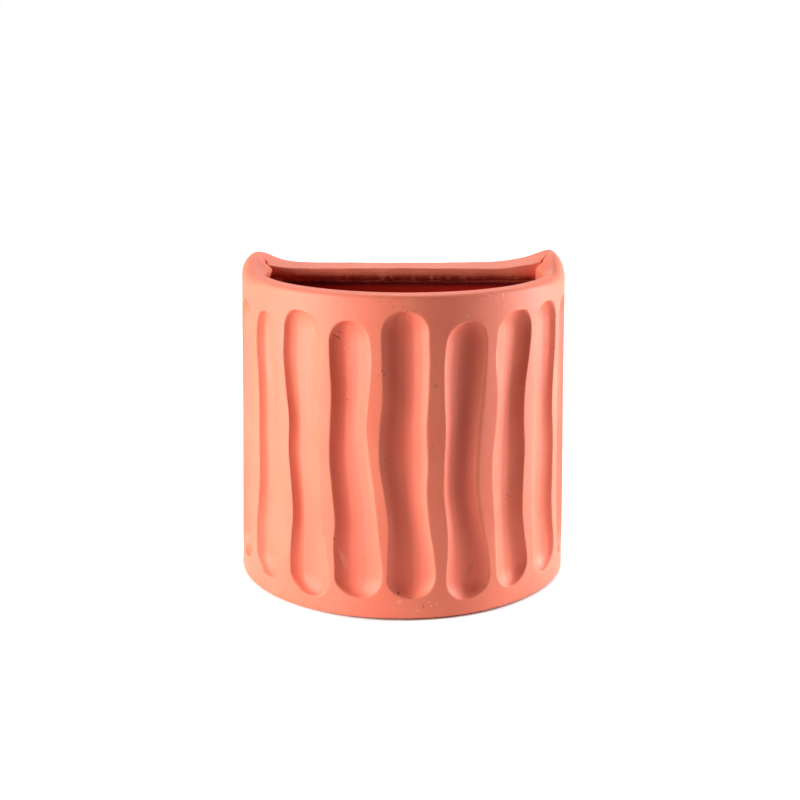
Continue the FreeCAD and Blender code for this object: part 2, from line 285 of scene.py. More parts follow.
def drag_marks(number, across, height):
    """Faint ridges that the carving tool leaves along a flute."""
    drift = 0.9 * np.sin(height / LIP_HEIGHT * 5.0 + number * 1.7)
    wave = (np.sin(across * 9.0 + number * 2.3 + drift) + np.sin(across * 17.0 + number * 4.1 - drift)
            + 0.7 * np.sin(across * 29.0 + number + drift))
    return wave * 0.05 * MM


def scooped(angle, height, radius):
    """Radius of the outside once the flutes are cut, from its radius before."""
    result = np.array(radius, float)
    for number in range(len(FLUTES)):
        middle, half_width, share = flute_section(number, height)
        half = np.radians(half_width)
        offset = np.radians(angle - middle)
        across = offset / np.maximum(half, 1e-4)
        chord = outer_radius(height) * np.cos(half) / np.cos(offset)
        fullness = np.where(across < 0, FULLNESS[number][0], FULLNESS[number][1])
        reach = chord - FLUTE_DEPTH * share * (1.0 - np.abs(across) ** fullness)
        reach = reach + drag_marks(number, across, height) * share
        near = (np.abs(across) < 1.5) & (share > 0.02)
        softness = EDGE_SOFTNESS * np.maximum(share, 0.05)
        if number == SOFT_EDGE_FLUTE:
            smeared = curve_through(height / MM, SOFT_EDGE_HEIGHTS, (0.0, 1.0, 1.0, 0.0))
            softness = softness + (SOFT_EDGE - EDGE_SOFTNESS) * smeared * smooth_step(across)
        cut = soft_minimum(reach, result, softness)
        result = np.where(near, cut, result)
    return result


def lip_rounding(angle):
    """Width of the lip's outer rounding: tight round the front, full on the raised corners."""
    along = (np.abs(angle) - ROUNDING_START) / (END_ANGLE - ROUNDING_START)
    return LIP_ROUNDING + (CORNER_ROUNDING - LIP_ROUNDING) * smooth_step(along)


def crown_height(angle):
    """Height of the lip's crest: level at the front, climbing over the corner pads."""
    rise = np.where(angle < 0, LEFT_CROWN, RIGHT_CROWN) - LIP_HEIGHT
    along = (np.abs(angle) - PAD_START) / (END_ANGLE - 3.0 - PAD_START)
    return LIP_HEIGHT + rise * smooth_step(along)


# Distance from the middle and height above the lip, along the back and the front of the rim.
LEFT_RIM = ((0, 50, 68, 76, 81, 87.6, 90.2, 94), (1.8, 1.85, 2.15, 3.1, 4.3, 7.0, 8.1, 8.8))
RIGHT_RIM = ((0, 34.6, 55.6, 66, 76.6, 81, 87, 91, 94.6), (1.8, 2.2, 2.7, 3.5, 5.3, 6.4, 8.5, 9.9, 10.8))
LEFT_FRONT_RIM = ((0, 51, 72, 77, 82, 86.5, 92, 96), (0.5, 0.1, 0.2, 0.5, 1.2, 2.2, 5.0, 7.6))
RIGHT_FRONT_RIM = ((0, 36, 62, 69, 75, 85, 90, 96), (0.5, 0.4, 0.4, 1.1, 2.2, 3.8, 5.8, 9.0))
# Where the crack between a pad and the rim starts and ends, and the share of it that is open.
LEFT_CRACK = ((-84.2, 36.0), (-92.0, 51.0), 0.7)
RIGHT_CRACK = ((85.0, 37.5), (96.0, 52.0), 0.9)
# The mouth's edge on a pad: y, and distance from the middle.
LEFT_MOUTH = ((10, 17, 22, 28, 33, 36, 39, 42.6, 46), (87.0, 86.8, 87.0, 85.6, 84.3, 84.6, 85.8, 87.2, 87.0))
RIGHT_MOUTH = ((10, 17, 23, 30, 36, 38, 42.6, 46), (87.0, 87.4, 87.6, 86.2, 84.9, 85.3, 87.1, 87.0))
CRACK_WIDTH = 0.45 * MM
CRACK_DEPTH = 2.2 * MM
CRACK_FRONT_Y = STRIP_FRONT_Y - 6.5 * MM


def mouth_distance(side, y):
    """Distance of the mouth's edge from the middle, along a pad's uneven inner side."""
    profile = LEFT_MOUTH if side < 0 else RIGHT_MOUTH
    return float(curve_through(y / MM, *profile)) * MM


def rim_height(x, y):
    """Top of the back rim: higher along the wall side, and swept up to both corners."""
    back = LEFT_RIM if x < 0 else RIGHT_RIM
    front = LEFT_FRONT_RIM if x < 0 else RIGHT_FRONT_RIM
    at = abs(x) / MM
    across = float(smooth_step((y - STRIP_FRONT_Y) / (BACK_Y - STRIP_FRONT_Y) * 0.9 + 0.1))
    low = float(curve_through(at, *front))
    high = float(curve_through(at, *back))
    uneven = 0.05 * (math.sin(x * 170 + 1.0) + math.sin(x * 391 + 2.0)) * (1 - smooth_step((at - 60) / 20))
    return LIP_HEIGHT + (low + (high - low) * across + float(uneven)) * MM


def pad_height(crest, across):
    """Top of a corner pad: down from the crest to the level mouth edge."""
    inner = LIP_HEIGHT + 0.3 * MM
    fall = across ** 1.35
    return crest + (inner - crest) * fall if crest > inner else crest


def top_height(x, y, crest, across):
    """Top of the wall at a place: pad, back rim, and the crack where the two meet."""
    pad = pad_height(crest, across)
    if y < CRACK_FRONT_Y:
        return pad
    start, end, reach = LEFT_CRACK if x < 0 else RIGHT_CRACK
    start, end, here = Vector(start) * MM, Vector(end) * MM, Vector((x, y))
    way = end - start
    along = (here - start).dot(way) / way.length_squared
    side = -1.0 if x < 0 else 1.0
    off = side * ((here.x - start.x) * way.y - (here.y - start.y) * way.x) / way.length
    rim = rim_height(x, min(max(y, STRIP_FRONT_Y), BACK_Y))
    merge = float(smooth_step((along - reach * 0.6) / (reach * 0.9)))
    width = CRACK_WIDTH + merge * 4.0 * MM
    on_pad = float(smooth_step(off / width * 0.5 + 0.5))
    wander = 0.25 * MM * math.sin(along * 23.0)
    groove = math.exp(-((off - wander) / CRACK_WIDTH) ** 2) * (1 - merge) * CRACK_DEPTH
    return rim + (pad - rim) * on_pad - groove


BACK_ROUNDING = 2.5 * MM
LEFT_SHOULDER = 1.15              # height of the lip's rounding on a raised corner, in shares
RIGHT_SHOULDER = 1.7
OUTER_CORNER_ROUNDING = 2.5 * MM
BASE_ROUNDING = 1.0 * MM
TOP_ROWS = 14
LEFT_UNDERCUT = 4.0 * MM
INNER_EDGE_ROUNDING = 1.6 * MM
BASE_LIFT = 1.3 * MM
LIFT_START = -48.0                # angles round the wall, in degrees
LIFT_RISE = 52.0
LIFT_END = 86.0
LIFT_FALL = 18.0


def base_lift(angle):
    """How far the uneven base stands off the ground, most at the front right."""
    rising = smooth_step((angle - LIFT_START) / LIFT_RISE)
    return BASE_LIFT * rising * smooth_step((LIFT_END - angle) / LIFT_FALL)


def wall_station(angles, arm, side):
    """Closed loop of points up the outside, over the lip and down the inside.

    angles holds the column's angle for each row of wall_heights(); arm is the distance along
    the straight arm, past the axis; side is -1 or 1 on an arm and 0 on the round part.
    """
    heights = wall_heights()
    lip_angle = float(angles[-1])
    crown = float(crown_height(np.array(lip_angle)))
    back_gap = BACK_Y - AXIS_Y - arm
    back_drop = 0.0
    if back_gap < BACK_ROUNDING:
        back_drop = BACK_ROUNDING - math.sqrt(BACK_ROUNDING ** 2 - (BACK_ROUNDING - back_gap) ** 2)
    crown -= back_drop
    corner = 0.0
    if side and back_gap < OUTER_CORNER_ROUNDING:
        r = OUTER_CORNER_ROUNDING
        corner = r - math.sqrt(r ** 2 - (r - back_gap) ** 2)

    # Outside: rows above the level lip's shoulder are stretched up to the raised one.
    stretch_from = 0.8 * LIP_HEIGHT
    raised = (crown - LIP_HEIGHT) / (RIGHT_CROWN - LIP_HEIGHT)
    tall = LEFT_SHOULDER if lip_angle < 0 else RIGHT_SHOULDER
    wide = float(lip_rounding(lip_angle))
    rounding = wide * (1.0 + (tall - 1.0) * max(0.0, raised))
    shoulder = crown - rounding
    level_shoulder = LIP_HEIGHT - LIP_ROUNDING
    rows = np.where(heights > stretch_from,
                    stretch_from + (heights - stretch_from) * (shoulder - stretch_from)
                    / (level_shoulder - stretch_from), heights)
    radius = outer_radius(rows) + wobble(angles, rows) - corner
    radius = scooped(angles, rows, radius)
    points = []
    lift = float(base_lift(np.array(float(angles[0]))))

    def add(angle, distance, height):
        """A point at a distance from the axis, or from the middle on an arm."""
        if side:
            points.append((side * distance, AXIS_Y + arm, height))
        else:
            turn = math.radians(angle)
            points.append((distance * math.sin(turn), AXIS_Y - distance * math.cos(turn), height))

    first = float(angles[0])
    base = float(radius[0])
    for turn in (0.0, 30.0, 60.0):
        inset = BASE_ROUNDING * (1 - math.sin(math.radians(turn)))
        up = BASE_ROUNDING * (1 - math.cos(math.radians(turn)))
        add(first, base - inset, lift + up * (1 - lift / (4 * MM)))
    for angle, distance, row in zip(angles, radius, rows):
        add(float(angle), float(distance), float(row) + lift * max(0.0, 1 - float(row) / (20 * MM)))

    # Lip: a rounded shoulder, the crown, then down to the inner edge.
    middle = float(outer_radius(shoulder)) + float(wobble(lip_angle, shoulder)) - wide - corner
    inner = inner_radius(LIP_HEIGHT)
    if side:
        inner = mouth_distance(side, AXIS_Y + arm)
    elif abs(lip_angle) > PAD_START:
        inner = MOUTH_HALF_WIDTH / math.sin(math.radians(abs(lip_angle)))
        y = AXIS_Y - inner * math.cos(math.radians(lip_angle))
        inner *= mouth_distance(lip_angle, y) / MOUTH_HALF_WIDTH
    for turn in range(0, 90, 10):
        t = math.radians(turn)
        distance = middle + wide * math.cos(t)
        height = shoulder + rounding * math.sin(t)
        distance = float(scooped(np.array([lip_angle]), np.array([height]), [distance])[0])
        add(lip_angle, distance, height)

    def top(distance):
        """Height of the top at a distance from the axis."""
        share = (middle - distance) / (middle - inner)
        if side:
            x, y = side * distance, AXIS_Y + arm
        else:
            turn = math.radians(lip_angle)
            x, y = distance * math.sin(turn), AXIS_Y - distance * math.cos(turn)
        if abs(lip_angle) < PAD_START:
            return crown
        return top_height(x, y, crown + back_drop, share) - back_drop

    edge = inner + INNER_EDGE_ROUNDING
    for t in np.linspace(0.0, 1.0, TOP_ROWS, endpoint=False):
        distance = middle + (edge - middle) * t
        add(lip_angle, distance, top(distance))
    inner_top = top(edge)
    for turn in (0.0, 30.0, 60.0, 90.0):
        t = math.radians(turn)
        add(lip_angle, edge - INNER_EDGE_ROUNDING * math.sin(t),
            inner_top - INNER_EDGE_ROUNDING * (1 - math.cos(t)))

    # Inside: straight down past the cut edge, out under a pad, then down to the base.
    under = 0.0 if lip_angle > 0 or side or abs(lip_angle) < PAD_START else LEFT_UNDERCUT
    add(lip_angle, inner + under * 0.3, LIP_HEIGHT - 4.0 * MM)
    add(lip_angle, inner + under, PAD_SEAT)
    for height in np.linspace(PAD_SEAT - 0.05 * MM, 0.0, 24):
        reach = inner_radius(height) + 0.4 * MM * math.sin(height / LIP_HEIGHT * 9 + lip_angle * 0.11)
        add(lip_angle, min(reach, inner_radius(height) + 0.3 * MM), height + lift * (height == 0.0))
    return points


# Distances past the axis, closest together at the rounded rear corner.
ARM_STEPS = (0.8, 1.6, 2.4, 3.2, 4.0, 4.8, 5.6, 6.4, 7.2, 7.8, 8.4, 8.9, 9.4, 9.75, 9.95)


def round_wall():
    """The fluted wall, its lip, its two arms and the corner pads, as one smoothed skin."""
    heights = wall_heights()
    grid = np.array([column_angles(h) for h in heights])
    arm_steps = [step * MM for step in ARM_STEPS]
    stations = []
    for arm in reversed(arm_steps):
        stations.append(wall_station(np.full(len(heights), -END_ANGLE), arm, -1))
    for column in range(grid.shape[1]):
        stations.append(wall_station(grid[:, column], 0.0, 0))
    for arm in arm_steps:
        stations.append(wall_station(np.full(len(heights), END_ANGLE), arm, 1))
    loop = len(stations[0])
    vertices = [p for station in stations for p in station]
    return mesh_piece("round_wall", vertices, ring_faces(len(stations), loop))


# ---- The back -----------------------------------------------------------------------------
HOLE_RADIUS = 4.0 * MM
HOLE_SPACING = 100.0 * MM
HOLE_DROP = 32.0 * MM
DRAIN_RADIUS = 7.5 * MM
DRAIN_FROM_BACK = 45.0 * MM


def round_cutter(radius, centre, along):
    """Cylinder that a boolean cuts with."""
    bpy.ops.mesh.primitive_cylinder_add(vertices=40, radius=radius, depth=60 * MM, location=centre)
    cutter = bpy.context.object
    if along == "Y":
        cutter.rotation_euler = (math.pi / 2, 0, 0)
    bpy.context.view_layer.update()
    return cutter


def cut_and_bevel(piece, cutters, width, plane):
    """Cuts the holes, softens every crease and applies it all to the mesh."""
    for cutter in cutters:
        cut = piece.modifiers.new("cut", "BOOLEAN")
        cut.operation = "DIFFERENCE"
        cut.solver = "EXACT"
        cut.object = cutter
    bevel = piece.modifiers.new("bevel", "BEVEL")
    bevel.width = width
    bevel.segments = 3
    bevel.limit_method = "ANGLE"
    bevel.angle_limit = math.radians(40)
    depsgraph = bpy.context.evaluated_depsgraph_get()
    mesh = bpy.data.meshes.new_from_object(piece.evaluated_get(depsgraph))
    piece.modifiers.clear()
    piece.data = mesh
    for cutter in cutters:
        bpy.data.objects.remove(cutter)
    work = bmesh.new()
    work.from_mesh(mesh)
    work.normal_update()
    finish_mesh(work, mesh, 40.0, plane)


def prism(name, outline, direction):
    """Closed solid from a flat outline swept along a direction."""
    count = len(outline)
    vertices = [Vector(p) for p in outline] + [Vector(p) + Vector(direction) for p in outline]
    faces = [tuple(range(count)), tuple(range(2 * count - 1, count - 1, -1))]
    faces += [(i, (i + 1) % count, count + (i + 1) % count, count + i) for i in range(count)]
    return mesh_piece(name, vertices, faces)


SLAB_TUCK = 0.4 * MM               # pressed into the arms, so no gap shows


def back_slab():
    """Flat slab between the arms, with its two hanging holes."""
    low, high = inner_radius(0.0) + SLAB_TUCK, inner_radius(PAD_SEAT) + SLAB_TUCK
    outline = [(-low, AXIS_Y, 0), (low, AXIS_Y, 0), (high, AXIS_Y, PAD_SEAT),
               (MOUTH_HALF_WIDTH, AXIS_Y, PAD_SEAT), (MOUTH_HALF_WIDTH, AXIS_Y, STRIP_SEAT),
               (-MOUTH_HALF_WIDTH, AXIS_Y, STRIP_SEAT), (-MOUTH_HALF_WIDTH, AXIS_Y, PAD_SEAT),
               (-high, AXIS_Y, PAD_SEAT)]
    piece = prism("back_slab", outline, (0, BACK_Y - AXIS_Y, 0))
    height = LIP_HEIGHT - HOLE_DROP
    cutters = [round_cutter(HOLE_RADIUS, (side * HOLE_SPACING / 2, (AXIS_Y + BACK_Y) / 2, height), "Y")
               for side in (-1, 1)]
    cut_and_bevel(piece, cutters, 0.6 * MM, (0, 1, 0))
    return piece


def floor_piece():
    """Half-round floor with its drain hole."""
    outline = []
    for angle in np.linspace(-90, 90, 73):
        turn = math.radians(angle)
        outline.append((FLOOR_RADIUS * math.sin(turn), AXIS_Y - FLOOR_RADIUS * math.cos(turn), 0.0))
    piece = prism("floor", outline, (0, 0, FLOOR_TOP))
    cutters = [round_cutter(DRAIN_RADIUS, (0, AXIS_Y - DRAIN_FROM_BACK, FLOOR_TOP / 2), "Z")]
    cut_and_bevel(piece, cutters, 0.6 * MM, (0, 0, 1))
    return piece


# ---- The strip along the back rim ---------------------------------------------------------
STRIP_END_OVERLAP = 0.8 * MM       # pressed into the corner pads, so no gap shows


def rim_strip():
    """Strip with a cut inner face and a torn lower edge."""
    stations = []
    rng = np.random.default_rng(7)
    count = 220
    torn = np.convolve(rng.normal(size=count + 8), np.ones(3) / 3, mode="same")[4:-4]
    deep = np.convolve(rng.normal(size=count + 8), np.ones(5) / 5, mode="same")[4:-4]
    for i, share in enumerate(np.linspace(-1, 1, count)):
        x = share * (MOUTH_HALF_WIDTH + STRIP_END_OVERLAP)
        front = STRIP_FRONT_Y + 0.2 * MM * math.sin(x * 230)
        tear = 0.6 * MM * torn[i]
        hollow = 0.8 * MM * deep[i]
        back = BACK_Y - 0.01 * MM
        low_back = rim_height(x, back) - BACK_ROUNDING
        section = [(back, STRIP_SEAT), (back, low_back)]
        for turn in (25, 50, 70, 90):
            t = math.radians(turn)
            y = back - BACK_ROUNDING * (1 - math.cos(t))
            section.append((y, rim_height(x, y) - BACK_ROUNDING * (1 - math.sin(t))))
        for t in (0.15, 0.3, 0.45, 0.6, 0.75, 0.88):
            y = BACK_Y - BACK_ROUNDING + (front + 0.7 * MM - BACK_Y + BACK_ROUNDING) * t
            section.append((y, rim_height(x, y)))
        edge = rim_height(x, front)
        section += [(front + 0.7 * MM, edge), (front + 0.25 * MM, edge - 0.15 * MM), (front, edge - 0.6 * MM)]
        lower = STRIP_SEAT - 0.3 * MM + tear * 0.4
        lower += 1.6 * MM * float(smooth_step((-x - 70 * MM) / (16 * MM)))
        lower += 0.7 * MM * float(smooth_step((x - 70 * MM) / (16 * MM)))
        section += [(front + 0.05 * MM, (edge + lower) / 2), (front + 0.1 * MM, lower + 0.5 * MM),
                    (front + 0.6 * MM, lower)]
        section += [(front + 1.6 * MM + hollow * 0.5, lower - 0.9 * MM + tear * 0.4),
                    (front + 2.6 * MM + hollow, lower - 1.9 * MM - tear * 0.5),
                    (front + 4.4 * MM + hollow * 0.6, lower - 2.9 * MM + tear),
                    (AXIS_Y + 0.3 * MM, lower - 3.6 * MM - tear), (AXIS_Y + 0.8 * MM, STRIP_SEAT - 0.5 * MM)]
        stations.append([(x, y, z) for y, z in section])
    loop = len(stations[0])
    vertices = [p for station in stations for p in station]
    return mesh_piece("rim_strip", vertices, ring_faces(len(stations), loop), sharp_angle=50.0)


# ---- Clay fillets inside ------------------------------------------------------------------
COIL_SIZE = 8.0 * MM


def fillet(name, corners, first_way, second_way, seed):
    """Fillet pressed into a corner: corners, and the two directions it spreads in, at each station."""
    rng = np.random.default_rng(seed)
    dents = np.convolve(rng.normal(size=len(corners) + 12), np.ones(7) / 7, mode="same")[6:-6]
    stations = []
    for i, (corner, first, second) in enumerate(zip(corners, first_way, second_way)):
        size = COIL_SIZE * (1.0 + 0.16 * dents[i])
        corner = Vector(corner)
        first = Vector(first)
        second = Vector(second)
        loop = [corner - (first + second) * 0.3 * MM]
        for turn in np.linspace(0, 90, 8):
            t = math.radians(turn)
            loop.append(corner + first * size * (1 - math.sin(t)) + second * size * (1 - math.cos(t)))
        stations.append(loop)
    count = len(stations[0])
    vertices = [p for station in stations for p in station]
    return mesh_piece(name, vertices, ring_faces(len(stations), count))


def seam_coil(name, side, seed):
    """Upright fillet in an inner corner."""
    heights = np.linspace(FLOOR_TOP, PAD_SEAT, 60)
    corners = [(side * inner_radius(h), AXIS_Y, h) for h in heights]
    along_back = [(-side, 0, 0)] * len(corners)
    along_wall = [(0, -1, 0)] * len(corners)
    return fillet(name, corners, along_back, along_wall, seed)


def floor_coil():
    """Fillet round the floor: along the back, then round the wall."""
    corners, inwards = [], []
    radius = inner_radius(FLOOR_TOP)
    inset = 3.0 * MM
    for x in np.linspace(-radius + inset, radius - inset, 50):
        corners.append((x, AXIS_Y, FLOOR_TOP))
        inwards.append((0, -1, 0))
    for angle in np.linspace(88, -88, 110):
        turn = math.radians(angle)
        corners.append((radius * math.sin(turn), AXIS_Y - radius * math.cos(turn), FLOOR_TOP))
        inwards.append((-math.sin(turn), math.cos(turn), 0))
    up = [(0, 0, 1)] * len(corners)
    return fillet("floor_coil_clay", corners, inwards, up, 5)


# ---- Materials ----------------------------------------------------------------------------
class Nodes:
    """Short calls for building a material's node tree."""

    def __init__(self, material):
        self.tree = material.node_tree
        self.tree.nodes.clear()

    def add(self, kind, settings=None, **inputs):
        """A node with its settings and inputs; an input is a value or another node's socket."""
        node = self.tree.nodes.new(kind)
        for name, value in (settings or {}).items():
            setattr(node, name, value)
        for name, value in inputs.items():
            socket = node.inputs[int(name[1:])] if name[1:].isdigit() else node.inputs[name.replace("_", " ")]
            if isinstance(value, bpy.types.NodeSocket):
                self.tree.links.new(value, socket)
            else:
                socket.default_value = value
        return node

    def math(self, operation, *values):
        """Output of a math node."""
        node = self.add("ShaderNodeMath", {"operation": operation})
        for socket, value in zip(node.inputs, values):
            if isinstance(value, bpy.types.NodeSocket):
                self.tree.links.new(value, socket)
            else:
                socket.default_value = value
        return node.outputs[0]

    def noise(self, vector, scale, detail=3.0, roughness=0.5):
        """Noise from 0 to 1."""
        node = self.add("ShaderNodeTexNoise", Vector=vector, Scale=scale, Detail=detail, Roughness=roughness)
        return node.outputs["Fac"]

    def ramp(self, value, low, high):
        """0 below low, 1 above high."""
        node = self.add("ShaderNodeMapRange", {"interpolation_type": "SMOOTHSTEP"},
                        Value=value, From_Min=low, From_Max=high)
        return node.outputs["Result"]

    def mix(self, share, first, second):
        """Colour mix."""
        node = self.add("ShaderNodeMix", {"data_type": "RGBA"}, i0=share, i6=first, i7=second)
        return node.outputs[2]

    def stretched(self, vector, scale):
        """Coordinates scaled by a different amount on each axis."""
        node = self.add("ShaderNodeMapping", {"vector_type": "POINT"}, Vector=vector, Scale=scale)
        return node.outputs[0]


# Painted shade: the inside of the pot is coloured dark red, standing in for the shade that falls inside it.
INSIDE_PAINTED_SHADE = (0.24, 0.012, 0.008)
BACK_INSIDE_PAINTED_SHADE = (0.62, 0.030, 0.014)
# Painted shadow: darker still just under the back strip, where its overhang shades the inside.
STRIP_PAINTED_SHADOW = (0.10, 0.003, 0.012)
MARK_JITTER = 0.5 * MM


def inside_shade_mask(n, place):
    """1 on the inside of the pot, where shade is painted into the colour, fading out just under the mouth."""
    part = n.add("ShaderNodeSeparateXYZ", Vector=place).outputs
    forward = n.math("MINIMUM", n.math("SUBTRACT", part["Y"], AXIS_Y), 0.0)
    radius = n.math("SQRT", n.math("ADD", n.math("MULTIPLY", part["X"], part["X"]),
                                   n.math("MULTIPLY", forward, forward)))
    lean = n.math("MULTIPLY", part["Z"], WALL_LEAN / LIP_HEIGHT)
    wall = n.math("SUBTRACT", n.math("ADD", radius, lean), inner_radius(0.0))
    within = n.math("SUBTRACT", 1.0, n.ramp(wall, 0.8 * MM, 2.0 * MM))
    behind = n.math("SUBTRACT", 1.0, n.ramp(part["Y"], AXIS_Y + 0.5 * MM, AXIS_Y + 1.5 * MM))
    ragged = n.math("ADD", part["Z"], n.math("MULTIPLY", n.noise(place, 500.0, 3.0, 0.7), 2.5 * MM))
    below = n.math("SUBTRACT", 1.0, n.ramp(ragged, 190.5 * MM, 193.5 * MM))
    above = n.ramp(part["Z"], 1.0 * MM, 2.5 * MM)
    return n.math("MULTIPLY", n.math("MULTIPLY", within, behind), n.math("MULTIPLY", below, above))


# Painted shade: the dark marks are dents whose darkness stands in for the shade in pits and scratches; one
# soft oval mark is a stain.
# Marks on the outside of the round wall: angle in degrees, height, half length and half width
# in millimetres, tilt in degrees and strength.
SHADED_DARK_MARKS = (
    (-22.6, 173.7, 3.0, 0.40, -39, 0.9), (-21.7, 176.5, 1.3, 0.35, -50, 0.8),
    (-19.4, 135.5, 0.6, 0.55, 0, 0.8), (-22.7, 49.4, 1.1, 0.35, 80, 0.7),
    (-55.5, 172.1, 0.8, 0.5, 60, 0.7), (-51.0, 173.5, 0.5, 0.5, 0, 0.6),
    (-6.8, 155.6, 0.6, 0.5, 0, 0.8), (-6.1, 153.2, 0.5, 0.5, 0, 0.7),
    (-1.3, 17.5, 0.9, 0.75, 30, 0.95), (6.6, 9.5, 1.8, 0.32, -64, 0.8),
    (-4.5, 196.4, 0.5, 0.45, 0, 0.8), (-7.5, 196.3, 0.5, 0.4, 0, 0.7),
    (27.6, 197.8, 0.6, 0.45, 40, 0.8), (39.9, 197.4, 0.5, 0.4, 0, 0.7),
    (43.7, 197.8, 0.6, 0.45, 60, 0.8), (-36.5, 197.8, 0.6, 0.5, 0, 0.7),
    (-3.4, 193.6, 0.5, 0.4, 0, 0.6), (34.8, 197.0, 1.6, 0.3, 88, 0.5),
    (10.6, 182.6, 0.5, 0.45, 0, 0.7), (2.0, 186.6, 0.5, 0.4, 0, 0.6),
    (58.7, 48.1, 0.7, 0.6, 0, 0.8), (23.7, 27.5, 5.0, 2.6, 70, 0.14),
    (39.0, 71.1, 0.8, 0.5, 20, 0.6), (40.2, 69.4, 0.6, 0.4, 50, 0.6), (38.3, 68.6, 0.6, 0.4, 0, 0.5),
    (10.4, 146.5, 2.0, 0.9, 20, 0.25), (1.2, 190.9, 1.6, 0.3, -44, 0.6), (3.3, 190.6, 1.3, 0.3, 40, 0.5),
)
LIGHT_MARKS = (
    (-23.0, 174.9, 2.6, 0.30, -39, 0.5), (-20.3, 166.6, 1.3, 0.3, -60, 0.7),
    (-18.9, 157.9, 1.1, 0.3, -60, 0.6), (-20.7, 36.1, 10.6, 0.35, -74, 0.55),
    (-19.7, 34.4, 9.4, 0.35, -71, 0.5), (-32.7, 175.7, 6.8, 0.4, -68, 0.45),
    (8.5, 11.9, 0.9, 0.5, 30, 0.7), (9.2, 9.2, 1.0, 0.5, -40, 0.7), (11.1, 10.9, 0.8, 0.5, 10, 0.7),
    (20.9, 187.0, 0.7, 0.6, 0, 0.9), (12.9, 82.0, 0.6, 0.5, 0, 0.6), (34.2, 197.2, 1.7, 0.35, 90, 0.7),
    (0.5, 190.4, 1.5, 0.35, -44, 0.5), (-1.0, 12.5, 2.2, 1.2, 10, 0.35), (4.9, 6.6, 1.6, 0.4, -15, 0.5),
)


# Painted shade: a darker, redder colour down in the middle flutes' recesses.
FLUTE_PAINTED_SHADE = (0.88, 0.145, 0.088)  # tint that brings these flutes nearer to the photograph


def flute_recess_shade(n, place):
    """0 to 1 down in the flutes round the middle of the front, where shade in the recesses is painted as a
    darker, redder colour.
    """
    part = n.add("ShaderNodeSeparateXYZ", Vector=place).outputs
    forward = n.math("SUBTRACT", AXIS_Y, part["Y"])
    angle = n.math("MULTIPLY", n.math("ARCTAN2", part["X"], forward), 180.0 / math.pi)
    radius = n.math("SQRT", n.math("ADD", n.math("MULTIPLY", part["X"], part["X"]),
                                   n.math("MULTIPLY", forward, forward)))
    lean = n.math("MULTIPLY", part["Z"], WALL_LEAN / LIP_HEIGHT)
    depth = n.math("SUBTRACT", BASE_RADIUS, n.math("ADD", radius, lean))
    off = n.math("ABSOLUTE", n.math("SUBTRACT", angle, 4.0))
    middle = n.math("SUBTRACT", 1.0, n.ramp(off, 26.0, 34.0))
    return n.math("MULTIPLY", n.ramp(depth, 1.0 * MM, 4.0 * MM), middle)


LIGHT_MARK = (0.95, 0.46, 0.33)
# Colour of the cut face's scratches and crumbs, and painted shade on the torn lower edge.
CUT_MARK_AND_UNDERCUT_SHADE = (0.60, 0.085, 0.055)
# Painted shade in the dark marks' pits and scratches, and the colour of a stain.
MARK_SHADE_AND_STAIN = (0.22, 0.035, 0.022)


def cut_scratches_and_undercut_shade(n, place):
    """0 to 1 in the long scratches and crumbs on the cut face of the rim, and in painted shade along its torn
    lower edge.
    """
    part = n.add("ShaderNodeSeparateXYZ", Vector=place).outputs
    face = n.math("SUBTRACT", 1.0, n.ramp(part["Y"], STRIP_FRONT_Y + 0.5 * MM, STRIP_FRONT_Y + 1.2 * MM))
    long = n.noise(n.stretched(place, (45.0, 300.0, 1700.0)), 1.0, 2.0, 0.6)
    turned = n.add("ShaderNodeMapping", {"vector_type": "POINT"}, Vector=place,
                   Rotation=(0, math.radians(-38), 0), Scale=(1500.0, 300.0, 170.0)).outputs[0]
    hatch = n.noise(turned, 1.0, 2.0, 0.6)
    # The hatching covers the lower edge, and the whole face towards the left end.
    reach = n.math("MULTIPLY", n.ramp(n.math("MULTIPLY", part["X"], -1.0), 25.0 * MM, 75.0 * MM), 4.0 * MM)
    height = n.math("SUBTRACT", part["Z"], reach)
    low = n.math("SUBTRACT", 1.0, n.ramp(height, STRIP_SEAT - 0.5 * MM, STRIP_SEAT + 2.2 * MM))
    scratch = n.math("MULTIPLY", n.ramp(long, 0.60, 0.66), 0.55)
    crumb = n.math("MULTIPLY", n.math("MULTIPLY", n.ramp(hatch, 0.46, 0.60), low), 0.65)
    # Painted shade along the torn lower edge, under the strip's overhang.
    torn = n.math("MULTIPLY", n.math("SUBTRACT", 1.0, n.ramp(part["Z"], STRIP_SEAT - 1.6 * MM,
                                                             STRIP_SEAT + 0.4 * MM)), 0.45)
    return n.math("MAXIMUM", n.math("MULTIPLY", n.math("MAXIMUM", scratch, crumb), face), torn)


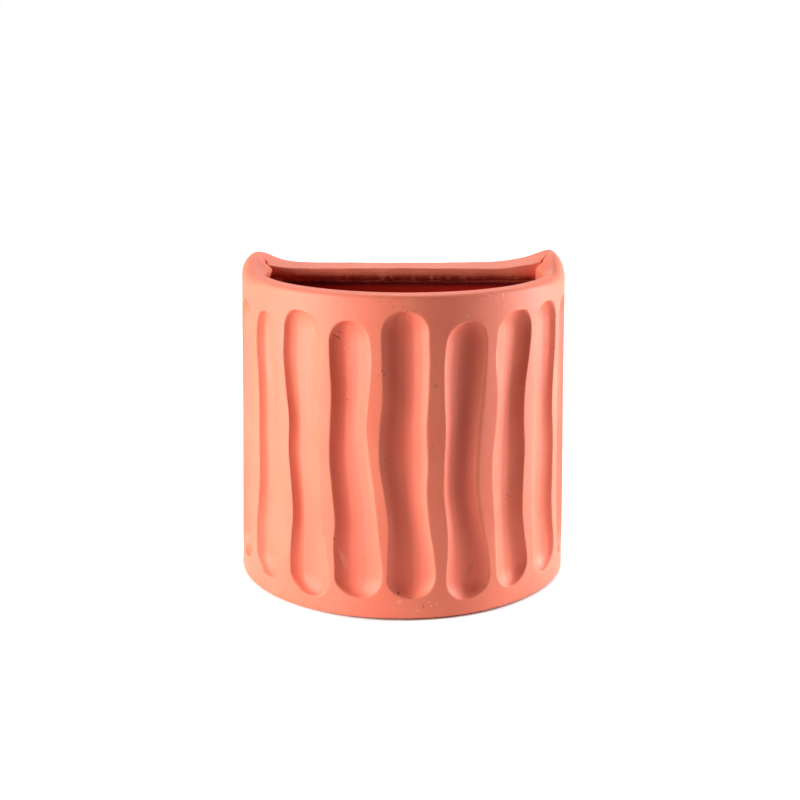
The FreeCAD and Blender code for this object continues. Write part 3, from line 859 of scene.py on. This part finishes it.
def marks(n, place, table):
    """0 to 1 where a scratch, a chip or a pit of the table lies on the round wall."""
    part = n.add("ShaderNodeSeparateXYZ", Vector=place).outputs
    angle = n.math("ARCTAN2", part["X"], n.math("SUBTRACT", AXIS_Y, part["Y"]))
    around = n.math("MULTIPLY", angle, outer_radius(LIP_HEIGHT / 2))
    flat = n.add("ShaderNodeCombineXYZ", X=around, Y=part["Z"], Z=0.0).outputs[0]
    jitter = n.add("ShaderNodeTexNoise", Vector=place, Scale=900.0, Detail=1.0).outputs["Color"]
    wander = n.add("ShaderNodeVectorMath", {"operation": "MULTIPLY_ADD"}, i0=jitter,
                   i1=(MARK_JITTER, MARK_JITTER, 0), i2=flat).outputs[0]
    total = None
    for angle, height, half_length, half_width, tilt, strength in table:
        centre = (math.radians(angle) * outer_radius(LIP_HEIGHT / 2) + MARK_JITTER / 2,
                  height * MM + MARK_JITTER / 2, 0)
        local = n.add("ShaderNodeMapping", {"vector_type": "TEXTURE"}, Vector=wander, Location=centre,
                      Rotation=(0, 0, math.radians(tilt)),
                      Scale=(half_length * MM, half_width * MM, 1)).outputs[0]
        far = n.add("ShaderNodeVectorMath", {"operation": "LENGTH"}, i0=local).outputs["Value"]
        spot = n.add("ShaderNodeMapRange", {"interpolation_type": "SMOOTHSTEP"}, Value=far,
                     From_Min=0.5, From_Max=1.15, To_Min=strength, To_Max=0.0).outputs["Result"]
        total = spot if total is None else n.math("MAXIMUM", total, spot)
    return total


def clay_material(name, plain, deep, pale, grain, specular=0.55, inside_shade=INSIDE_PAINTED_SHADE, kind="plain"):
    """Unglazed fired clay: slow mottling, fine grit, small pits and tool streaks, with painted shade over the
    inside of the pot, in the pits, and for the marked and cut kinds in the dark marks, the middle flutes and
    the rim's torn edge.
    """
    material = bpy.data.materials.new(name)
    material.use_nodes = True
    n = Nodes(material)
    place = n.add("ShaderNodeTexCoord").outputs["Object"]

    slow = n.noise(place, 22.0, 4.0, 0.55)
    colour = n.mix(n.ramp(slow, 0.35, 0.62), (*deep, 1), (*plain, 1))
    cloud = n.noise(place, 60.0, 5.0, 0.6)
    colour = n.mix(n.math("MULTIPLY", n.ramp(cloud, 0.5, 0.72), 0.45), colour, (*pale, 1))
    streak = n.noise(n.stretched(place, (420.0, 420.0, 14.0)), 1.0, 2.0, 0.5)
    colour = n.mix(n.math("MULTIPLY", n.ramp(streak, 0.45, 0.75), 0.12), colour, (*deep, 1))
    grit = n.noise(place, 1500.0, 2.0, 0.6)
    speck = n.math("MULTIPLY", n.ramp(grit, 0.62, 0.72), 0.35)
    colour = n.mix(speck, colour, tuple(c * 0.55 for c in deep) + (1,))

    pits = n.add("ShaderNodeTexVoronoi", {"feature": "F1"}, Vector=place, Scale=210.0, Randomness=1.0)
    rare = n.add("ShaderNodeTexWhiteNoise", Vector=pits.outputs["Position"])
    pit = n.math("MULTIPLY", n.math("SUBTRACT", 1.0, n.ramp(pits.outputs["Distance"], 0.06, 0.16)),
                 n.ramp(rare.outputs["Value"], 0.93, 0.95))
    # Painted shade: the pits are darkened as well as dented.
    colour = n.mix(n.math("MULTIPLY", pit, 0.4), colour, tuple(c * 0.35 for c in deep) + (1,))
    scored_and_shaded = None
    if kind == "marked":
        # Painted shade down in the middle flutes.
        colour = n.mix(n.math("MULTIPLY", flute_recess_shade(n, place), 0.5), colour, (*FLUTE_PAINTED_SHADE, 1))
        # Dark marks: dents, with painted shade in them.
        scored_and_shaded = marks(n, place, SHADED_DARK_MARKS)
        colour = n.mix(marks(n, place, LIGHT_MARKS), colour, (*LIGHT_MARK, 1))
        colour = n.mix(scored_and_shaded, colour, (*MARK_SHADE_AND_STAIN, 1))
    elif kind == "cut":
        scored_and_shaded = cut_scratches_and_undercut_shade(n, place)
        colour = n.mix(scored_and_shaded, colour, (*CUT_MARK_AND_UNDERCUT_SHADE, 1))

    part = n.add("ShaderNodeSeparateXYZ", Vector=place).outputs
    # Painted shade over the inside, with a painted shadow just under the back strip.
    strip_shadow_share = n.ramp(n.math("ADD", part["Z"], n.math("MULTIPLY", cloud, 1.5 * MM)), 186.5 * MM, 191.0 * MM)
    inside = n.mix(strip_shadow_share, (*inside_shade, 1), (*STRIP_PAINTED_SHADOW, 1))
    colour = n.mix(inside_shade_mask(n, place), colour, inside)

    grain_height = n.math("MULTIPLY", n.noise(place, 420.0, 3.0), 0.5)
    height = n.math("ADD", n.math("MULTIPLY", grit, 0.25), grain_height)
    height = n.math("ADD", height, n.math("MULTIPLY", streak, 0.35))
    height = n.math("SUBTRACT", height, n.math("MULTIPLY", pit, 1.6))
    if scored_and_shaded is not None:
        height = n.math("SUBTRACT", height, scored_and_shaded)
    bump = n.add("ShaderNodeBump", Strength=grain, Distance=0.35 * MM, Height=height).outputs[0]
    roughness = n.math("ADD", n.math("MULTIPLY", cloud, 0.16), 0.5)

    shader = n.add("ShaderNodeBsdfPrincipled", Base_Color=colour, Roughness=roughness, Normal=bump)
    shader.inputs["Specular IOR Level"].default_value = specular
    n.add("ShaderNodeOutputMaterial", Surface=shader.outputs[0])
    return material


OPEN_REACH = 10.0 * MM             # how near the planter has to be to shade the floor


def white_material(name, colour, bounce):
    """Floor: white to the camera, with the planter's shadow, and plainer to bounced light."""
    material = bpy.data.materials.new(name)
    material.use_nodes = True
    n = Nodes(material)
    path = n.add("ShaderNodeLightPath")
    seen = n.math("MAXIMUM", path.outputs["Is Camera Ray"], path.outputs["Is Glossy Ray"])
    seen = n.math("MAXIMUM", seen, path.outputs["Is Transmission Ray"])
    seen_surface = n.add("ShaderNodeBsdfDiffuse", Color=(colour, colour, colour, 1)).outputs[0]
    from_axis = n.add("ShaderNodeVectorMath", {"operation": "SUBTRACT"},
                      i0=n.add("ShaderNodeTexCoord").outputs["Object"], i1=(0, AXIS_Y, 0)).outputs[0]
    away = n.math("SUBTRACT", n.add("ShaderNodeVectorMath", {"operation": "LENGTH"},
                                    i0=from_axis).outputs["Value"], BASE_RADIUS)
    # The white fades where the planter stands close over the floor, which leaves its own shadow.
    unblocked = n.add("ShaderNodeAmbientOcclusion", {"samples": 16}, Distance=OPEN_REACH).outputs["AO"]
    near = n.math("MULTIPLY", n.ramp(unblocked, 0.2, 0.88), 0.8)
    glow = n.math("ADD", near, n.math("MULTIPLY", n.ramp(away, 0.0, 0.3), 0.2))
    glowing = n.add("ShaderNodeEmission", Color=(1, 1, 1, 1), Strength=glow).outputs[0]
    both = n.add("ShaderNodeAddShader", i0=seen_surface, i1=glowing).outputs[0]
    fade = n.math("MULTIPLY", n.ramp(away, 0.06, 0.34), 0.7)
    tone = n.mix(fade, (bounce, bounce, bounce, 1), (0.0, 0.0, 0.0, 1))
    bounced = n.add("ShaderNodeBsdfDiffuse", Color=tone).outputs[0]
    final = n.add("ShaderNodeMixShader", i0=seen, i1=bounced, i2=both).outputs[0]
    n.add("ShaderNodeOutputMaterial", Surface=final)
    return material


# ---- Stage, light and camera --------------------------------------------------------------
# The lamps were fitted to the photograph's brightness, then rounded and changed.
LAMP = (1.3, 0.35, 0.5)           # distance, width and height, in metres
WARM = (1.0, 1.0, 0.95)
COOL = (1.0, 0.99, 0.97)


def stage_floor():
    """Wide white floor under the planter."""
    bpy.ops.mesh.primitive_plane_add(size=8.0, location=(0, 0, 0))
    floor = bpy.context.object
    floor.name = "stage_floor"
    floor.data.materials.append(white_material("stage_white", 0.8, 0.9))


def area_light(name, azimuth, elevation, power, tint):
    """Soft box aimed at the middle of the planter; azimuth in degrees from the front."""
    distance, width, height = LAMP
    data = bpy.data.lights.new(name, "AREA")
    data.shape = "RECTANGLE"
    data.size = width
    data.size_y = height
    data.energy = power
    data.color = tint
    light = bpy.data.objects.new(name, data)
    bpy.context.scene.collection.objects.link(light)
    a, e = math.radians(azimuth), math.radians(elevation)
    out = Vector((math.sin(a) * math.cos(e), -math.cos(a) * math.cos(e), math.sin(e)))
    light.location = Vector((0, AXIS_Y, LIP_HEIGHT / 2)) + out * distance
    light.rotation_euler = (-out).to_track_quat("-Z", "Y").to_euler()
    return light


def world_light(strength):
    """Plain white seen by the camera, and a faint fill on the object."""
    world = bpy.data.worlds.new("world")
    bpy.context.scene.world = world
    world.use_nodes = True
    n = Nodes(world)
    path = n.add("ShaderNodeLightPath")
    seen = n.math("MAXIMUM", path.outputs["Is Camera Ray"], path.outputs["Is Glossy Ray"])
    seen = n.math("MAXIMUM", seen, path.outputs["Is Transmission Ray"])
    plain = n.add("ShaderNodeBackground", Color=(1, 1, 1, 1), Strength=1.0).outputs[0]
    fill = n.add("ShaderNodeBackground", Color=(1, 1, 1, 1), Strength=strength).outputs[0]
    final = n.add("ShaderNodeMixShader", i0=seen, i1=fill, i2=plain).outputs[0]
    n.add("ShaderNodeOutputWorld", Surface=final)


def photo_camera():
    """Camera at the photograph's viewing angle."""
    data = bpy.data.cameras.new("camera")
    data.sensor_width = SENSOR_WIDTH
    data.lens = CAMERA_LENS
    camera = bpy.data.objects.new("camera", data)
    bpy.context.scene.collection.objects.link(camera)
    place = Matrix.Translation((CAMERA_SIDE, AXIS_Y - CAMERA_DISTANCE, CAMERA_HEIGHT))
    pitch = Matrix.Rotation(math.radians(90.0 - CAMERA_PITCH), 4, "X")
    roll = Matrix.Rotation(math.radians(CAMERA_ROLL), 4, "Z")
    camera.matrix_world = place @ pitch @ roll
    bpy.context.scene.camera = camera


# ---- Making it ----------------------------------------------------------------------------
photo_camera()
bpy.context.scene.view_settings.view_transform = "Standard"
stage_floor()
world_light(0.0)
area_light("left_low", -70.0, 5.0, 13.4, WARM)
area_light("left_high", -70.0, 25.0, 7.2, WARM)
area_light("left_front", -55.0, 5.0, 6.0, WARM)
area_light("right_low", 100.0, 5.0, 13.0, COOL)
area_light("right_front", 85.0, 5.0, 6.6, COOL)
area_light("right_high", 100.0, 29.0, 7.5, COOL)
area_light("back_high", 180.0, 60.0, 7.2, WARM)

CLAY = ((0.88, 0.208, 0.123), (0.87, 0.188, 0.110), (0.88, 0.24, 0.155), 0.35)
terracotta = clay_material("terracotta", *CLAY)
marked = clay_material("terracotta_marked", *CLAY, kind="marked")
cut_rim = clay_material("terracotta_cut", *CLAY, kind="cut")
# The back slab's inside carries painted shade.
back_shaded_inside = clay_material("terracotta_back", *CLAY, specular=0.1, inside_shade=BACK_INSIDE_PAINTED_SHADE)
rough_clay = clay_material("rough_clay", (0.52, 0.12, 0.07), (0.42, 0.085, 0.05), (0.60, 0.17, 0.11), 0.8)

PIECES = (
    # piece, material, slot, nodes that it stands for
    (round_wall(), marked, "terracotta", ("front_wall", "left_corner_pad", "right_corner_pad")),
    (back_slab(), back_shaded_inside, "terracotta", ("back_wall",)),
    (floor_piece(), terracotta, "terracotta", ("floor_slab",)),
    (rim_strip(), cut_rim, "terracotta", ("back_rim_strip",)),
    (seam_coil("left_seam_clay", -1, 3), rough_clay, "rough_clay", ("left_seam_coil",)),
    (seam_coil("right_seam_clay", 1, 4), rough_clay, "rough_clay", ("right_seam_coil",)),
    (floor_coil(), rough_clay, "rough_clay", ("floor_coil",)),
)
for piece, material, slot, nodes in PIECES:
    piece.data.materials.clear()
    piece.data.materials.append(material)
    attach(piece, "root")
    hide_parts(*nodes)
